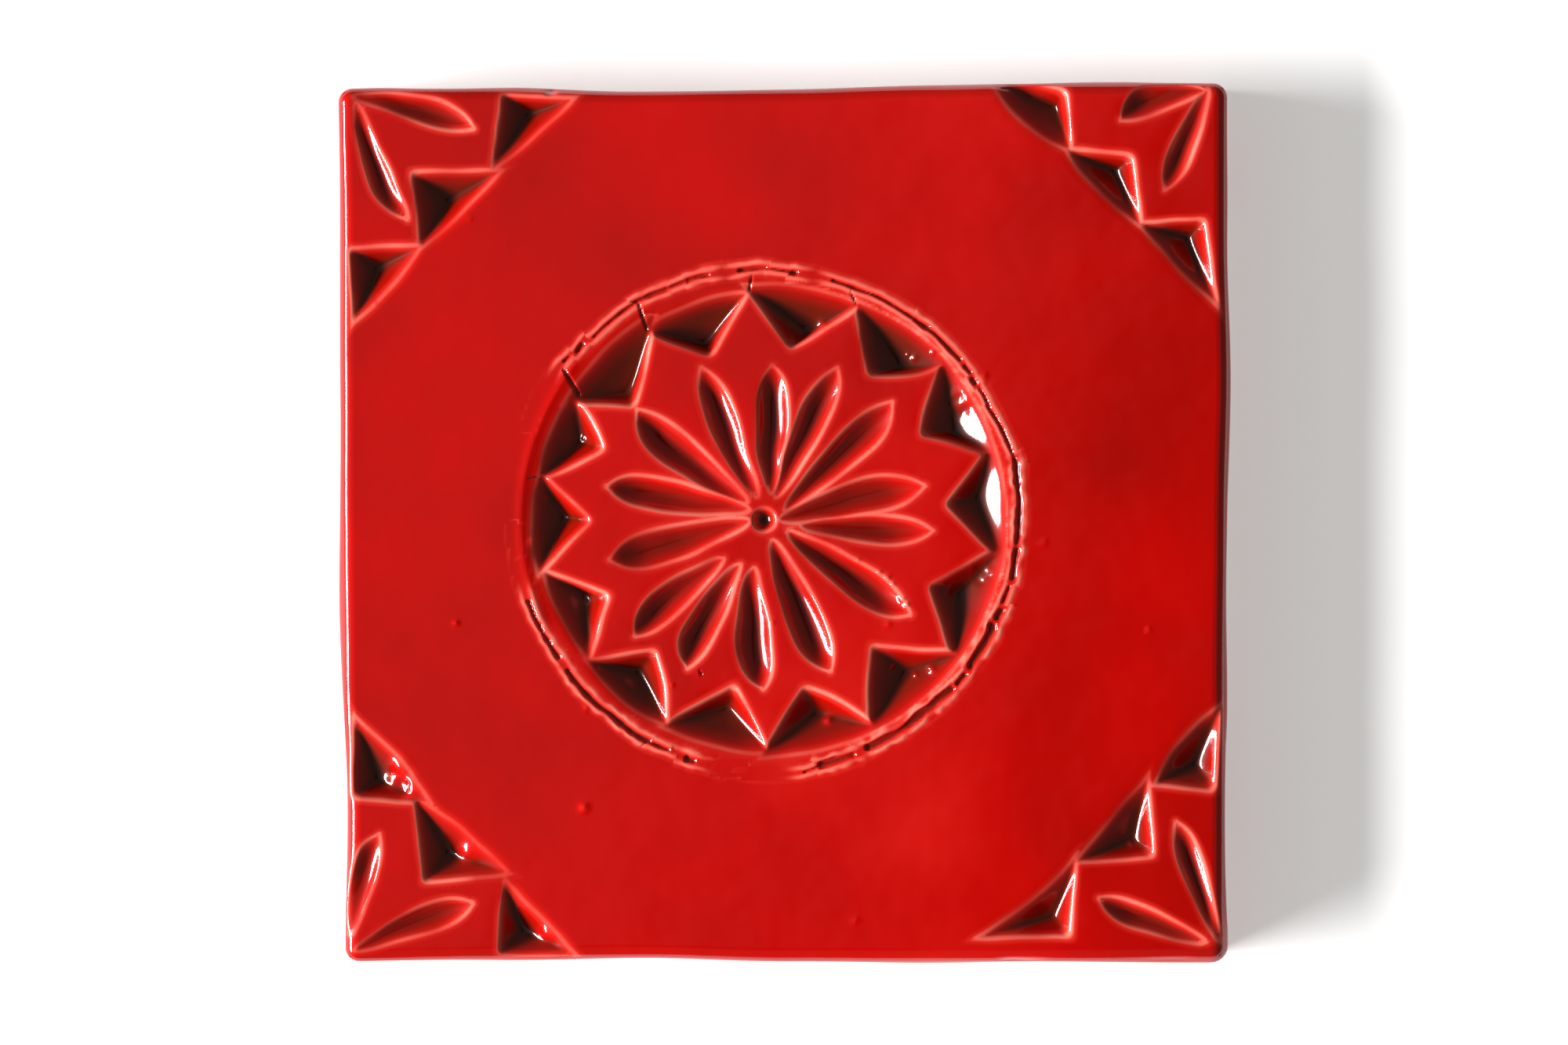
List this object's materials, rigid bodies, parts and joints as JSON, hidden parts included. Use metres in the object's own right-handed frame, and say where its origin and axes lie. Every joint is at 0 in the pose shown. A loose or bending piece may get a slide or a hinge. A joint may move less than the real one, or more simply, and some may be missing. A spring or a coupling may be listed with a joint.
{
  "type": "decorative tile",
  "caption": "Square hand-made wall tile of glazed clay, with a chip-carved rosette inside a scored circle and carved leaves and chips at its corners.",
  "frame": {"origin": "middle of the flat back, at the centre of the tile's bounding box", "axes": "+Z out of the carved face, +X to the right and +Y up when the face is looked at as in the picture"},
  "size_m": [0.101, 0.0994, 0.009],
  "materials": {
    "tile": "transparent red gloss glaze over light clay, darker where it pools in the carving and paler where it breaks over edges"
  },
  "bodies": {
    "root": {"tile": "tile"}
  },
  "joints": []
}
